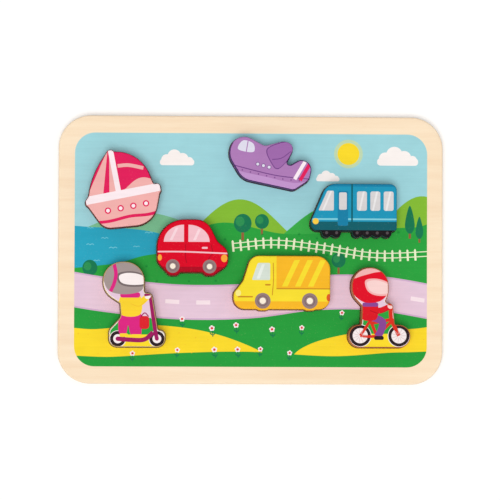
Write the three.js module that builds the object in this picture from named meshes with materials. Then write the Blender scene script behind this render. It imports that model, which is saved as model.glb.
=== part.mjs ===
import * as THREE from "three";

// Wooden shape puzzle: a two-layer board with seven recesses and seven thick loose pieces.
// Millimetres, +Z up. The origin is the middle of the underside, +X runs along the board.

// Board
const boardLength = 280;
const boardWidth = 195;
const boardCornerRadius = 23.5;
const boardEdgeRadius = 1.2;
const borderWidth = 12.5;
const backingThickness = 3;
const trayThickness = 6;
const recessEdgeEase = 0.3;

// All loose pieces
const pieceThickness = 20;
const pieceTopRadius = 1.2;
const pieceBottomRadius = 0.6;
const fitClearance = 0.5;
const cutterRadius = 1.6;

// Boat: sails over a gunwale and a hull whose keel is deeper at the bow, on the right
const boatGunwaleLength = 55.6;
const boatGunwaleHeight = 5.8;
const boatGunwaleRadius = 2.6;
const boatHullSet = 1.6;
const boatHullRake = 8.2;
const boatSternDepth = 25;
const boatBowDepth = 28.5;
const boatSternRadius = 10;
const boatBowRadius = 17;
const boatMainsailSet = 3.1;
const boatForesailSet = 4.6;
const boatSailHeight = 28.4;
const boatForesailShoulder = 18.4;
const boatForesailDrop = 3.1;
const boatForesailRadius = 26;
const boatMainsailShoulder = 19.5;
const boatMainsailDrop = 12.4;
const boatMainsailRadius = 66;
const boatMastWidth = 5.8;
const boatMastTaper = 1.2;
const boatMastRise = 1.8;
const boatMastRadius = 2.1;
const boatMastOffset = 3.3;

// Plane, seen from its left side: nose, belly, raked tail fin and a wing on its back
const planeNoseTop = 34.2;
const planeNoseRadius = 10.5;
const planeChinHeight = 14.5;
const planeChinLength = 13.5;
const planeChinRadius = 13;
const planeBellyEnd = 51.8;
const planeBellyRadius = 5.5;
const planeTailReach = 61.1;
const planeTailFoot = 9.5;
const planeTailFootRadius = 8;
const planeTailHeight = 22.8;
const planeTailRadius = 7;
const planeFinStart = 51.5;
const planeFinDrop = 0.1;
const planeFinRadius = 4;
const planeNotchStart = 42.2;
const planeNotchEnd = 45.6;
const planeNotchHeight = 17.4;
const planeWingTip = 46.1;
const planeWingHeight = 33.2;
const planeWingTipRadius = 5;
const planeWingFront = 36.5;
const planeWingFrontRadius = 8;
const planeWingRoot = 24.2;
const planeBackHeight = 27;
const planeRootRadius = 5;

// Train: an engine on two wheels and a carriage on four, in one piece
const trainLength = 62.4;
const trainHeight = 34.3;
const trainNoseLength = 11.6;
const trainNoseFoot = 7;
const trainNoseRadius = 8;
const trainRoofRadius = 10;
const trainTailRadius = 5;
const trainFrontFootRadius = 5;
const trainRearFootRadius = 3;
const trainWheelDrop = 4.6;
const trainWheelWidth = 6.4;
const trainWheelRadius = 3.1;
const trainWheelPitch = 7.3;
const trainWheelDip = 1.8;
const trainWheelDipWidth = 4.4;
const trainEngineWheels = 2;
const trainEngineRowAt = 15;
const trainCarriageWheels = 4;
const trainCarriageRowAt = 44.5;

// Car, facing right
const carLength = 51.4;
const carHeight = 38.3;
const carRearRadius = 20;
const carRoofEnd = 15.5;
const carRoofRadius = 13;
const carScreenFootHeight = 22.4;
const carBonnetLength = 7.6;
const carScreenFootRadius = 8;
const carNoseHeight = 16.2;
const carNoseRadius = 8;
const carSillHeight = 7.4;
const carChinHeight = 5.2;
const carSillRadius = 7;
const carWheelDrop = 2.4;
const carWheelRadius = 3.6;
const carRearWheelAt = 11.7;
const carFrontWheelAt = 38;
const carWheelTread = 5.4;
const carWheelFlank = 2.6;

// Van, facing left
const vanLength = 70;
const vanHeight = 38.7;
const vanBonnetHeight = 11.8;
const vanBonnetLength = 6.9;
const vanBonnetRadius = 5;
const vanScreenFootHeight = 20.4;
const vanScreenFootRadius = 6;
const vanRoofStart = 12.6;
const vanRoofFrontRadius = 8;
const vanRoofRearRadius = 10;
const vanFootRadius = 8.2;
const vanWheelDrop = 0.9;
const vanWheelRadius = 3;
const vanWheelTread = 5;
const vanWheelFlank = 2;
const vanFrontWheelAt = 21.2;
const vanRearWheelAt = 55.3;

// Helmeted rider on a kick scooter, riding to the right
const scooterWheelbase = 28.6;
const scooterWheelRadius = 6.1;
const scooterBarHeight = 39;
const scooterBarForward = 24.9;
const scooterBarRadius = 3;
const scooterForkForward = 29.4;
const scooterForkRadius = 3;
const scooterHelmetWidth = 30;
const scooterHelmetTop = 61.5;
const scooterHelmetForward = 4.5;
const scooterHelmetRadius = 14;
const scooterNapeHeight = 39.5;
const scooterNeckHeight = 31.5;
const scooterBackForward = 1.9;
const scooterHipHeight = 21.5;
const scooterHipForward = 2.7;
const scooterHipRadius = 6;

// Helmeted rider on a bicycle, riding to the right
const bicycleWheelbase = 28.4;
const bicycleWheelRadius = 8.2;
const bicycleForkForward = 25.2;
const bicycleBarHeight = 32.2;
const bicycleBarForward = 23.8;
const bicycleBarRadius = 3;
const bicycleChinForward = 17.8;
const bicycleFaceHeight = 39;
const bicycleFaceRadius = 8;
const bicycleHelmetWidth = 26.8;
const bicycleHelmetTop = 58;
const bicycleHelmetForward = 7.3;
const bicycleHelmetRadius = 13.2;
const bicycleNapeHeight = 38;
const bicycleNeckHeight = 30;
const bicycleBackForward = 1.5;
const bicycleSeatForward = 1;

// Middle of each piece, as shares of the picture inside the border, and its tilt in degrees
const boatPlace = { acrossShare: 0.1306, upShare: 0.7585, tilt: 11.3 };
const planePlace = { acrossShare: 0.5522, upShare: 0.874, tilt: -12 };
const trainPlace = { acrossShare: 0.7906, upShare: 0.668, tilt: 0 };
const carPlace = { acrossShare: 0.3326, upShare: 0.507, tilt: 0 };
const vanPlace = { acrossShare: 0.5866, upShare: 0.357, tilt: 0 };
const scooterPlace = { acrossShare: 0.1675, upShare: 0.264, tilt: 0 };
const bicyclePlace = { acrossShare: 0.8646, upShare: 0.255, tilt: 0 };

// Faceting: how far a chord may lie inside its arc, the shortest side, and the steps of a rounded edge
const chordError = 0.05;
const shortestSideLength = 0.2;
const edgeSteps = 2;

// Outline with round corners from corners [x, y, radius] listed counter-clockwise.
// A radius is limited where the straight runs beside its corner are too short for it.
function roundedOutline(corners) {
  const count = corners.length;
  const points = corners.map(([x, y]) => new THREE.Vector2(x, y));
  const runs = points.map((point, i) => points[(i + 1) % count].clone().sub(point));
  const before = (i) => (i + count - 1) % count;
  const bends = runs.map((run, i) => Math.atan2(runs[before(i)].cross(run), runs[before(i)].dot(run)));
  const reaches = corners.map(([, , radius], i) => radius * Math.tan(Math.abs(bends[i]) / 2));
  const room = runs.map((run, i) => run.length() / (reaches[i] + reaches[(i + 1) % count]));
  const outline = corners.flatMap(([, , wantedRadius], i) => {
    const share = Math.min(1, room[i], room[before(i)]);
    const radius = wantedRadius * share;
    const along = runs[before(i)].clone().normalize();
    const inward = new THREE.Vector2(-along.y, along.x).multiplyScalar(Math.sign(bends[i]));
    const start = points[i].clone().addScaledVector(along, -reaches[i] * share);
    const centre = start.clone().addScaledVector(inward, radius);
    const step = 2 * Math.acos(1 - chordError / radius);
    const steps = Math.ceil(Math.abs(bends[i]) / step);
    const turns = Array.from({ length: steps + 1 }, (_, k) => (bends[i] * k) / steps);
    return turns.map((turn) => start.clone().rotateAround(centre, turn));
  });
  return outline.filter((point, i) => point.distanceTo(outline.at(i - 1)) > shortestSideLength);
}

// Outline moved outwards by a distance, or inwards where the distance is negative
function offsetOutline(outline, distance) {
  const count = outline.length;
  return outline.map((point, i) => {
    const before = point.clone().sub(outline[(i + count - 1) % count]).normalize();
    const after = outline[(i + 1) % count].clone().sub(point).normalize();
    const mitre = new THREE.Vector2(before.y + after.y, -before.x - after.x);
    return point.clone().addScaledVector(mitre, distance / (1 + before.dot(after)));
  });
}

// Outline with the middle of its bounding box at the origin
function centred(outline) {
  const middle = new THREE.Box2().setFromPoints(outline).getCenter(new THREE.Vector2());
  return outline.map((point) => point.clone().sub(middle));
}

// Heights and insets of an edge from bottom to top, with a quarter round at either end
function roundedEdge(thickness, bottomRadius, topRadius) {
  const turns = Array.from({ length: edgeSteps + 1 }, (_, k) => (Math.PI * k) / (2 * edgeSteps));
  const bottom = turns.map((turn) => ({
    height: bottomRadius * (1 - Math.cos(turn)),
    inset: bottomRadius * (1 - Math.sin(turn)),
  }));
  const top = turns.map((turn) => ({
    height: thickness - topRadius * (1 - Math.sin(turn)),
    inset: topRadius * (1 - Math.cos(turn)),
  }));
  const lower = bottomRadius > 0 ? bottom : [{ height: 0, inset: 0 }];
  const upper = topRadius > 0 ? top : [{ height: thickness, inset: 0 }];
  return [...lower, ...upper];
}

// Solid lofted through the levels of an outline's edge and, in step, of the holes' edges
function loft(outline, outerEdge, holes = [], holeEdge = outerEdge) {
  const levels = outerEdge.map((outer, k) => [
    { ring: offsetOutline(outline, -outer.inset), height: outer.height },
    ...holes.map((hole) => ({
      ring: offsetOutline(hole, holeEdge[k].inset),
      height: holeEdge[k].height,
    })),
  ]);
  const positions = levels.flat().flatMap(({ ring, height }) => ring.flatMap(({ x, y }) => [x, y, height]));
  const levelSize = positions.length / 3 / levels.length;
  const triangles = [];
  for (let k = 0; k + 1 < levels.length; k += 1) {
    let first = k * levelSize;
    levels[k].forEach(({ ring }, ringNumber) => {
      ring.forEach((_, i) => {
        const here = first + i;
        const next = first + ((i + 1) % ring.length);
        const [a, b] = ringNumber === 0 ? [here, next] : [next, here];
        triangles.push(a, b, b + levelSize, a, b + levelSize, a + levelSize);
      });
      first += ring.length;
    });
  }
  const cap = (level) => {
    const [contour, ...openings] = level.map(({ ring }) => ring);
    return THREE.ShapeUtils.triangulateShape([...contour], openings.map((ring) => [...ring]));
  };
  const topStart = (levels.length - 1) * levelSize;
  cap(levels[0]).forEach(([a, b, c]) => triangles.push(c, b, a));
  cap(levels.at(-1)).forEach(([a, b, c]) => triangles.push(topStart + a, topStart + b, topStart + c));
  const geometry = new THREE.BufferGeometry();
  geometry.setAttribute("position", new THREE.Float32BufferAttribute(positions, 3));
  geometry.setIndex(triangles);
  geometry.computeVertexNormals();
  return geometry;
}

// Corners of a wheel that shows below a vehicle's underside, at height 0
function wheelCorners(middle, tread, flank, drop, radius) {
  return [
    [middle - tread / 2 - flank, 0, cutterRadius],
    [middle - tread / 2, -drop, radius],
    [middle + tread / 2, -drop, radius],
    [middle + tread / 2 + flank, 0, cutterRadius],
  ];
}

// Boat, with the top of the gunwale at height 0 and the bow on the right
function boatOutline() {
  const gunwaleEnd = boatGunwaleLength / 2;
  const hullEnd = gunwaleEnd - boatHullSet;
  const keelEnd = hullEnd - boatHullRake;
  const foresailEnd = gunwaleEnd - boatForesailSet;
  const mainsailEnd = gunwaleEnd - boatMainsailSet;
  const mastLeft = -boatMastOffset - boatMastWidth / 2;
  const mastRight = -boatMastOffset + boatMastWidth / 2;
  const mastTop = boatSailHeight + boatMastRise;
  const hullTop = -boatGunwaleHeight - boatHullSet;
  return roundedOutline([
    [-keelEnd, -boatSternDepth, boatSternRadius],
    [keelEnd, -boatBowDepth, boatBowRadius],
    [hullEnd, hullTop, cutterRadius],
    [gunwaleEnd, -boatGunwaleHeight, boatGunwaleRadius],
    [gunwaleEnd, 0, boatGunwaleRadius],
    [foresailEnd, 0, cutterRadius],
    [boatForesailShoulder, boatSailHeight - boatForesailDrop, boatForesailRadius],
    [mastRight, boatSailHeight, cutterRadius],
    [mastRight - boatMastTaper, mastTop, boatMastRadius],
    [mastLeft + boatMastTaper, mastTop, boatMastRadius],
    [mastLeft, boatSailHeight, cutterRadius],
    [-boatMainsailShoulder, boatSailHeight - boatMainsailDrop, boatMainsailRadius],
    [-mainsailEnd, 0, cutterRadius],
    [-gunwaleEnd, -boatMainsailSet, boatGunwaleRadius],
    [-gunwaleEnd, -boatGunwaleHeight, boatGunwaleRadius],
    [-hullEnd, hullTop, cutterRadius],
  ]);
}

// Plane, with its belly at height 0 and its nose on the left at length 0
function planeOutline() {
  return roundedOutline([
    [planeChinLength, 0, planeChinRadius],
    [planeBellyEnd, 0, planeBellyRadius],
    [planeTailReach, planeTailFoot, planeTailFootRadius],
    [planeTailReach, planeTailHeight, planeTailRadius],
    [planeFinStart, planeTailHeight - planeFinDrop, planeFinRadius],
    [planeNotchEnd, planeNotchHeight, cutterRadius],
    [planeNotchStart, planeNotchHeight, cutterRadius],
    [planeWingTip, planeWingHeight, planeWingTipRadius],
    [planeWingFront, planeWingHeight, planeWingFrontRadius],
    [planeWingRoot, planeBackHeight, planeRootRadius],
    [0, planeNoseTop, planeNoseRadius],
    [0, planeChinHeight, planeChinRadius],
  ]);
}

// Train, with its underside at height 0 and its nose on the left at length 0
function trainOutline() {
  const wheelRow = (middle, count) => {
    const first = middle - (trainWheelPitch * (count - 1)) / 2;
    const last = middle + (trainWheelPitch * (count - 1)) / 2;
    const dips = Array.from({ length: count - 1 }, (_, k) => first + trainWheelPitch * (k + 0.5));
    return [
      [first - trainWheelWidth / 2, 0, cutterRadius],
      [first - trainWheelWidth / 2, -trainWheelDrop, trainWheelRadius],
      ...dips.flatMap((dip) => [
        [dip - trainWheelDipWidth / 2, -trainWheelDrop, trainWheelRadius],
        [dip, trainWheelDip - trainWheelDrop, cutterRadius],
        [dip + trainWheelDipWidth / 2, -trainWheelDrop, trainWheelRadius],
      ]),
      [last + trainWheelWidth / 2, -trainWheelDrop, trainWheelRadius],
      [last + trainWheelWidth / 2, 0, cutterRadius],
    ];
  };
  return roundedOutline([
    [0, 0, trainFrontFootRadius],
    ...wheelRow(trainEngineRowAt, trainEngineWheels),
    ...wheelRow(trainCarriageRowAt, trainCarriageWheels),
    [trainLength, 0, trainRearFootRadius],
    [trainLength, trainHeight, trainTailRadius],
    [trainNoseLength, trainHeight, trainRoofRadius],
    [0, trainNoseFoot, trainNoseRadius],
  ]);
}

// Car, with its underside at height 0 and its tail on the left at length 0
function carOutline() {
  const rearWheel = wheelCorners(carRearWheelAt, carWheelTread, carWheelFlank, carWheelDrop, carWheelRadius);
  const frontWheel = wheelCorners(carFrontWheelAt, carWheelTread, carWheelFlank, carWheelDrop, carWheelRadius);
  return roundedOutline([
    [0, carSillHeight, carSillRadius],
    ...rearWheel.slice(1),
    ...frontWheel.slice(0, -1),
    [carLength, carChinHeight, carSillRadius],
    [carLength, carNoseHeight, carNoseRadius],
    [carLength - carBonnetLength, carScreenFootHeight, carScreenFootRadius],
    [carLength - carRoofEnd, carHeight, carRoofRadius],
    [0, carHeight, carRearRadius],
  ]);
}

// Van, with its underside at height 0 and its nose on the left at length 0
function vanOutline() {
  const wheel = (middle) => wheelCorners(middle, vanWheelTread, vanWheelFlank, vanWheelDrop, vanWheelRadius);
  return roundedOutline([
    [0, 0, vanFootRadius],
    ...wheel(vanFrontWheelAt),
    ...wheel(vanRearWheelAt),
    [vanLength, 0, vanFootRadius],
    [vanLength, vanHeight, vanRoofRearRadius],
    [vanRoofStart, vanHeight, vanRoofFrontRadius],
    [vanBonnetLength, vanScreenFootHeight, vanScreenFootRadius],
    [0, vanBonnetHeight, vanBonnetRadius],
  ]);
}

// Scooter and rider, with the ground at height 0 and the rear axle at length 0
function scooterOutline() {
  const wheelTop = 2 * scooterWheelRadius;
  const frontEnd = scooterWheelbase + scooterWheelRadius;
  const helmetBack = scooterHelmetForward - scooterHelmetWidth / 2;
  const helmetFront = scooterHelmetForward + scooterHelmetWidth / 2;
  return roundedOutline([
    [-scooterWheelRadius, 0, scooterWheelRadius],
    [frontEnd, 0, scooterWheelRadius],
    [frontEnd, wheelTop, scooterWheelRadius],
    [scooterForkForward, wheelTop, scooterForkRadius],
    [scooterBarForward, scooterBarHeight, scooterBarRadius],
    [helmetFront, scooterBarHeight, cutterRadius],
    [helmetFront, scooterHelmetTop, scooterHelmetRadius],
    [helmetBack, scooterHelmetTop, scooterHelmetRadius],
    [helmetBack, scooterNapeHeight, scooterHelmetRadius],
    [scooterBackForward, scooterNeckHeight, cutterRadius],
    [scooterHipForward, scooterHipHeight, scooterHipRadius],
    [-scooterWheelRadius, wheelTop, scooterWheelRadius],
  ]);
}

// Bicycle and rider, with the ground at height 0 and the rear axle at length 0
function bicycleOutline() {
  const wheelTop = 2 * bicycleWheelRadius;
  const frontEnd = bicycleWheelbase + bicycleWheelRadius;
  const helmetBack = bicycleHelmetForward - bicycleHelmetWidth / 2;
  const helmetFront = bicycleHelmetForward + bicycleHelmetWidth / 2;
  return roundedOutline([
    [-bicycleWheelRadius, 0, bicycleWheelRadius],
    [frontEnd, 0, bicycleWheelRadius],
    [frontEnd, wheelTop, bicycleWheelRadius],
    [bicycleForkForward, wheelTop, cutterRadius],
    [bicycleBarForward, bicycleBarHeight, bicycleBarRadius],
    [bicycleChinForward, bicycleBarHeight, cutterRadius],
    [helmetFront, bicycleFaceHeight, bicycleFaceRadius],
    [helmetFront, bicycleHelmetTop, bicycleHelmetRadius],
    [helmetBack, bicycleHelmetTop, bicycleHelmetRadius],
    [helmetBack, bicycleNapeHeight, bicycleHelmetRadius],
    [bicycleBackForward, bicycleNeckHeight, cutterRadius],
    [bicycleSeatForward, wheelTop, cutterRadius],
    [-bicycleWheelRadius, wheelTop, bicycleWheelRadius],
  ]);
}

const pieces = [
  { name: "boat_piece", outline: boatOutline(), place: boatPlace, color: 0xe4205c },
  { name: "plane_piece", outline: planeOutline(), place: planePlace, color: 0xb07db8 },
  { name: "train_piece", outline: trainOutline(), place: trainPlace, color: 0x2096b9 },
  { name: "car_piece", outline: carOutline(), place: carPlace, color: 0xde0526 },
  { name: "van_piece", outline: vanOutline(), place: vanPlace, color: 0xfae032 },
  { name: "scooter_piece", outline: scooterOutline(), place: scooterPlace, color: 0xde2882 },
  { name: "bicycle_piece", outline: bicycleOutline(), place: bicyclePlace, color: 0xde3223 },
];

// Place of a piece's middle on the board, from its shares of the picture
function placeOnBoard({ acrossShare, upShare }) {
  const pictureLength = boardLength - 2 * borderWidth;
  const pictureWidth = boardWidth - 2 * borderWidth;
  return new THREE.Vector2((acrossShare - 0.5) * pictureLength, (upShare - 0.5) * pictureWidth);
}

function addMesh(group, name, geometry, color, roughness) {
  const material = new THREE.MeshStandardMaterial({ color, roughness, metalness: 0, flatShading: true });
  const mesh = new THREE.Mesh(geometry, material);
  mesh.name = name;
  group.add(mesh);
  return mesh;
}

const puzzle = new THREE.Group();
puzzle.name = "shape_puzzle";

// Backing: a plain sheet that closes the recesses from below
const halfLength = boardLength / 2;
const halfWidth = boardWidth / 2;
const boardOutline = roundedOutline([
  [-halfLength, -halfWidth, boardCornerRadius],
  [halfLength, -halfWidth, boardCornerRadius],
  [halfLength, halfWidth, boardCornerRadius],
  [-halfLength, halfWidth, boardCornerRadius],
]);
const backingEdge = roundedEdge(backingThickness, boardEdgeRadius, 0);
addMesh(puzzle, "backing_board", loft(boardOutline, backingEdge), 0xe9cfa6, 0.65);

// Tray: a sheet with one cut-out for each piece, its outline grown by the clearance
const recesses = pieces.map(({ outline, place }) => {
  const middle = placeOnBoard(place);
  const tilt = THREE.MathUtils.degToRad(place.tilt);
  const origin = new THREE.Vector2();
  const grown = offsetOutline(centred(outline), fitClearance);
  return grown.map((point) => point.clone().rotateAround(origin, tilt).add(middle));
});
const trayEdge = roundedEdge(trayThickness, 0, boardEdgeRadius);
const recessEdge = roundedEdge(trayThickness, 0, recessEdgeEase);
const tray = addMesh(puzzle, "tray_board", loft(boardOutline, trayEdge, recesses, recessEdge), 0xfbe3c4, 0.55);
tray.position.z = backingThickness;

// Loose pieces, each standing on the backing inside its recess
const pieceEdge = roundedEdge(pieceThickness, pieceBottomRadius, pieceTopRadius);
pieces.forEach(({ name, outline, place, color }) => {
  const middle = placeOnBoard(place);
  const mesh = addMesh(puzzle, name, loft(centred(outline), pieceEdge), color, 0.4);
  mesh.position.set(middle.x, middle.y, backingThickness);
  mesh.rotation.z = THREE.MathUtils.degToRad(place.tilt);
});

export default puzzle;
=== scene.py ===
import math

import bmesh
import bpy
import numpy as np
from mathutils import Matrix, Vector
from mathutils.geometry import delaunay_2d_cdt


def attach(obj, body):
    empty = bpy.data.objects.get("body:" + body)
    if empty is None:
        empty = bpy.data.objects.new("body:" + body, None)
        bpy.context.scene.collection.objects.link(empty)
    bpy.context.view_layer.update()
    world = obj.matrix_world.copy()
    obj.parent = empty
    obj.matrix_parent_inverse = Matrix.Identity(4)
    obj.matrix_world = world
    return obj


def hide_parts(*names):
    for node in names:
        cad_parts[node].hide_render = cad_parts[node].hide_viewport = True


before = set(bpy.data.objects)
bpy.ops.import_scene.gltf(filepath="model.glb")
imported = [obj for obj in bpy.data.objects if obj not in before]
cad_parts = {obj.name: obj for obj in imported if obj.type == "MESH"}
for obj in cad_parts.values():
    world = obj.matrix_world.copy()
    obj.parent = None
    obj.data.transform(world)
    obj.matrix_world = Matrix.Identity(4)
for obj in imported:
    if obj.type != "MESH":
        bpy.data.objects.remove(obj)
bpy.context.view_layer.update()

# Studio: the puzzle lies on a white table under one wide softbox, almost overhead, in a white room.
# The camera hangs far above it, a little to its left and below it.
MM = 0.001
picture_pixels = 500
pixels_per_mm = 1.3757
camera_distance = 2.2
camera_from_left = math.radians(2.3)
camera_from_below = math.radians(2.0)
camera_roll = math.radians(0.22)
view_middle = Vector((-0.63, 0.05, 9)) * MM
sensor_mm = 36
softbox_from = Vector((-0.08, -0.2, 1))
softbox_spread = math.radians(34)
softbox_power = 1.85
ambient_light = 0.43
table_size = 8
table_drop = 0.05 * MM
table_colour = (0.88, 0.88, 0.88, 1)
table_roughness = 0.9
table_gloss = 0.1
table_glow = 0.16
white = (1, 1, 1, 1)


def feed(tree, socket, value):
    """Gives a socket a plain value or another node's output"""
    if isinstance(value, bpy.types.NodeSocket):
        tree.links.new(value, socket)
    else:
        socket.default_value = value


def add(tree, kind, inputs=(), **settings):
    """A new node with its settings and its inputs"""
    made = tree.nodes.new(kind)
    for name, value in settings.items():
        setattr(made, name, value)
    for name, value in dict(inputs).items():
        feed(tree, next(s for s in made.inputs if name in (s.identifier, s.name)), value)
    return made


def calculated(tree, operation, *values):
    """The result of a sum on two or three values"""
    places = ("Value", "Value_001", "Value_002")
    return add(tree, "ShaderNodeMath", zip(places, values), operation=operation).outputs[0]


def new_material(name):
    """A new material and its tree of nodes"""
    material = bpy.data.materials.new(name)
    material.use_nodes = True
    return material, material.node_tree


def show(name, thing):
    """A mesh, a lamp or a camera as an object of the scene, at the origin"""
    made = bpy.data.objects.new(name, thing)
    bpy.context.scene.collection.objects.link(made)
    return made


def seen_directly(tree):
    """1 for rays that show the backdrop itself or its mirror image, 0 for light that it gives"""
    path = add(tree, "ShaderNodeLightPath").outputs
    camera_or_gloss = calculated(tree, "MAXIMUM", path["Is Camera Ray"], path["Is Glossy Ray"])
    return calculated(tree, "MAXIMUM", camera_or_gloss, path["Is Transmission Ray"])


scene = bpy.context.scene
scene.view_settings.view_transform = "Standard"

back = Vector((-math.tan(camera_from_left), -math.tan(camera_from_below), 1))
right = Vector((0, 1, 0)).cross(back).normalized()
up = back.normalized().cross(right)
turn = Matrix((right, up, back.normalized())).transposed().to_4x4()
camera_lens = bpy.data.cameras.new("camera")
camera_lens.sensor_fit = "HORIZONTAL"
camera_lens.sensor_width = sensor_mm
camera_lens.lens = sensor_mm * pixels_per_mm * camera_distance / MM / picture_pixels
camera = show("camera", camera_lens)
camera.matrix_world = (
    Matrix.Translation(view_middle + back * camera_distance) @ turn @ Matrix.Rotation(camera_roll, 4, "Z")
)
scene.camera = camera

softbox_lamp = bpy.data.lights.new("softbox", "SUN")
softbox_lamp.energy = softbox_power
softbox_lamp.angle = softbox_spread
softbox = show("softbox", softbox_lamp)
softbox.rotation_euler = softbox_from.to_track_quat("Z", "Y").to_euler()

world = bpy.data.worlds.new("white room")
world.use_nodes = True
scene.world = world
room = world.node_tree
room_strength = add(room, "ShaderNodeMapRange", {
    "Value": seen_directly(room), "To Min": ambient_light, "To Max": 1.0,
}).outputs["Result"]
room_light = room.nodes["Background"].inputs
feed(room, room_light["Color"], white)
feed(room, room_light["Strength"], room_strength)

table_mesh = bpy.data.meshes.new("table")
table_edge = table_size / 2
table_corners = [(x * table_edge, y * table_edge, -table_drop)
                 for x, y in ((-1, -1), (1, -1), (1, 1), (-1, 1))]
table_mesh.from_pydata(table_corners, [], [(0, 1, 2, 3)])
table_paint, table_tree = new_material("white table")
table_finish = {
    "Base Color": table_colour,
    "Roughness": table_roughness,
    "Specular IOR Level": table_gloss,
    "Emission Color": white,
    "Emission Strength": calculated(table_tree, "MULTIPLY", seen_directly(table_tree), table_glow),
}
for quality, value in table_finish.items():
    feed(table_tree, table_tree.nodes["Principled BSDF"].inputs[quality], value)
table_mesh.materials.append(table_paint)
table = show("table", table_mesh)

# Backing board: a thin sheet of three-ply birch that closes the recesses from below. It is sawn
# with rounded corners, its lower edge is rounded over, and it is sanded under a clear lacquer.
board_edge_radius = 1.2
backing_low = 0.0
backing_high = 3.0
ply_thickness = 1.0
ink_turns = np.radians([30, 45, 60, 75, 90])
side_turns = np.radians([15, 0])
foot_turns = np.radians([0, 30, 60, 90])
wall_support = 0.4
finest_turn = 0.07
straight_run = 1.7
least_turn = 1e-3
joining_gap = 1e-5
level_gap = 1e-4
weld = 1e-6
no_ink = (0.0, 0.0, 0.0, 0.0)
to_metres = Matrix.Scale(MM, 4)
lacquer_gloss = 0.02
grain_band_stretch = (9, 130, 130)
grain_fibre_stretch = (70, 1500, 1500)
grain_pore_stretch = (260, 2600, 2600)
grain_band_tone = (0.35, 0.7, 0, 0.62)
grain_fibre_tone = (0.3, 0.75, 0, 0.3)
grain_pore_edges = (0.66, 0.74)
grain_pore_tone = 0.28
bare_roughness = 0.5
bare_relief = 0.02 * MM
sawn_roughness = 0.62
sawn_relief = 0.03 * MM
sawn_wander_stretch = (60, 60, 0)
sawn_wander = (0, 1, -0.06, 0.06)
sawn_turn_of_grain = (0.98, 1.02)
sawn_pore_stretch = (1700, 1700, 1700)
sawn_pores = (0.42, 0.7)
sawn_streak_stretch = (90, 90, 3200)
sawn_streaks = (0.35, 0.7)
glue_line_tone = (0.03, 0.09, 0.75, 0.0)
glue_line_hollow = (0.0, 0.15)
glue_brown = (0.22, 0.12, 0.05, 1)
pore_brown = (0.36, 0.22, 0.11, 1)


def section(node, height):
    """The closed outlines of a CAD solid at a height, in millimetres, the widest one first"""
    solid = bmesh.new()
    solid.from_mesh(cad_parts[node].data)
    bmesh.ops.remove_doubles(solid, verts=solid.verts, dist=weld)
    everything = [*solid.verts, *solid.edges, *solid.faces]
    bmesh.ops.bisect_plane(solid, geom=everything, plane_co=(0, 0, height * MM), plane_no=(0, 0, 1),
                           clear_inner=True, clear_outer=True)
    waiting = set(solid.verts)
    outlines = []
    while waiting:
        here = waiting.pop()
        outline = [here.co.xy / MM]
        ahead = [here]
        while ahead:
            here = ahead[0]
            ends = [edge.other_vert(here) for edge in here.link_edges]
            ahead = [vertex for vertex in ends if vertex in waiting][:1]
            waiting.difference_update(ahead)
            outline += [vertex.co.xy / MM for vertex in ahead]
        outlines.append(refined(np.array(outline)))
    solid.free()
    return sorted(outlines, key=lambda outline: -np.ptp(outline[:, 0]))


def unit(vectors):
    """Vectors brought to a length of one"""
    return vectors / np.linalg.norm(vectors, axis=-1, keepdims=True)


def turn_between(first, second):
    """The signed angle from one direction to another"""
    cross = first[..., 0] * second[..., 1] - first[..., 1] * second[..., 0]
    return np.arctan2(cross, (first * second).sum(-1))


def anticlockwise(outline):
    """The same outline, run anticlockwise"""
    x, y = outline.T
    return outline if (x * np.roll(y, -1) - y * np.roll(x, -1)).sum() > 0 else outline[::-1]


def refined(outline):
    """A faceted outline with its arcs rounded again by cubic curves, anticlockwise from its lower left"""
    run = np.roll(outline, -1, 0) - outline
    corners = anticlockwise(outline[np.abs(turn_between(unit(np.roll(run, 1, 0)), unit(run))) > least_turn])
    corners = np.roll(corners, -int(corners.sum(1).argmin()), 0)
    run = np.roll(corners, -1, 0) - corners
    length = np.linalg.norm(run, axis=1)
    before = np.roll(length, 1)
    ahead = unit(run)
    behind = np.roll(ahead, 1, 0)
    tangent = unit(behind * length[:, None] + ahead * before[:, None])
    tangent = np.where((length > straight_run * before)[:, None], ahead, tangent)
    tangent = np.where((before > straight_run * length)[:, None], behind, tangent)
    points = []
    for i, start in enumerate(corners):
        stop = corners[(i + 1) % len(corners)]
        leave = tangent[i] * length[i]
        arrive = tangent[(i + 1) % len(corners)] * length[i]
        bend = abs(turn_between(tangent[i], ahead[i])) + abs(turn_between(ahead[i], arrive))
        steps = max(1, math.ceil(bend / finest_turn))
        for t in np.arange(steps) / steps:
            points.append(start * (1 + 2 * t) * (1 - t) ** 2 + leave * t * (1 - t) ** 2
                          + stop * t * t * (3 - 2 * t) - arrive * t * t * (1 - t))
    return np.array(points)


def outward(outline):
    """At each point of an outline, its offset for one millimetre outwards"""
    after = unit(np.roll(outline, -1, 0) - outline)
    before = np.roll(after, 1, 0)
    mitre = np.stack([before[:, 1] + after[:, 1], -before[:, 0] - after[:, 0]], 1)
    return mitre / (1 + (before * after).sum(1, keepdims=True))


def inside(outline, points):
    """Which points lie inside an outline"""
    x, y = points[:, :1], points[:, 1:]
    (x0, y0), (x1, y1) = outline.T, np.roll(outline, -1, 0).T
    rise = np.where(y1 == y0, 1, y1 - y0)
    return (((y0 > y) != (y1 > y)) & (x < x0 + (y - y0) * (x1 - x0) / rise)).sum(1) % 2 == 1


def between(outline, holes, points):
    """Which points lie inside an outline and outside its cut-outs"""
    return inside(outline, points) & ~np.any([inside(hole, points) for hole in holes], axis=0)


def drawn_in(wall, turn):
    """The rim of a wall, from above, at a turn of its rounded top"""
    outline, top, _, way = wall
    return outline - way * outward(outline) * top * (1 - math.cos(turn))


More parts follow.
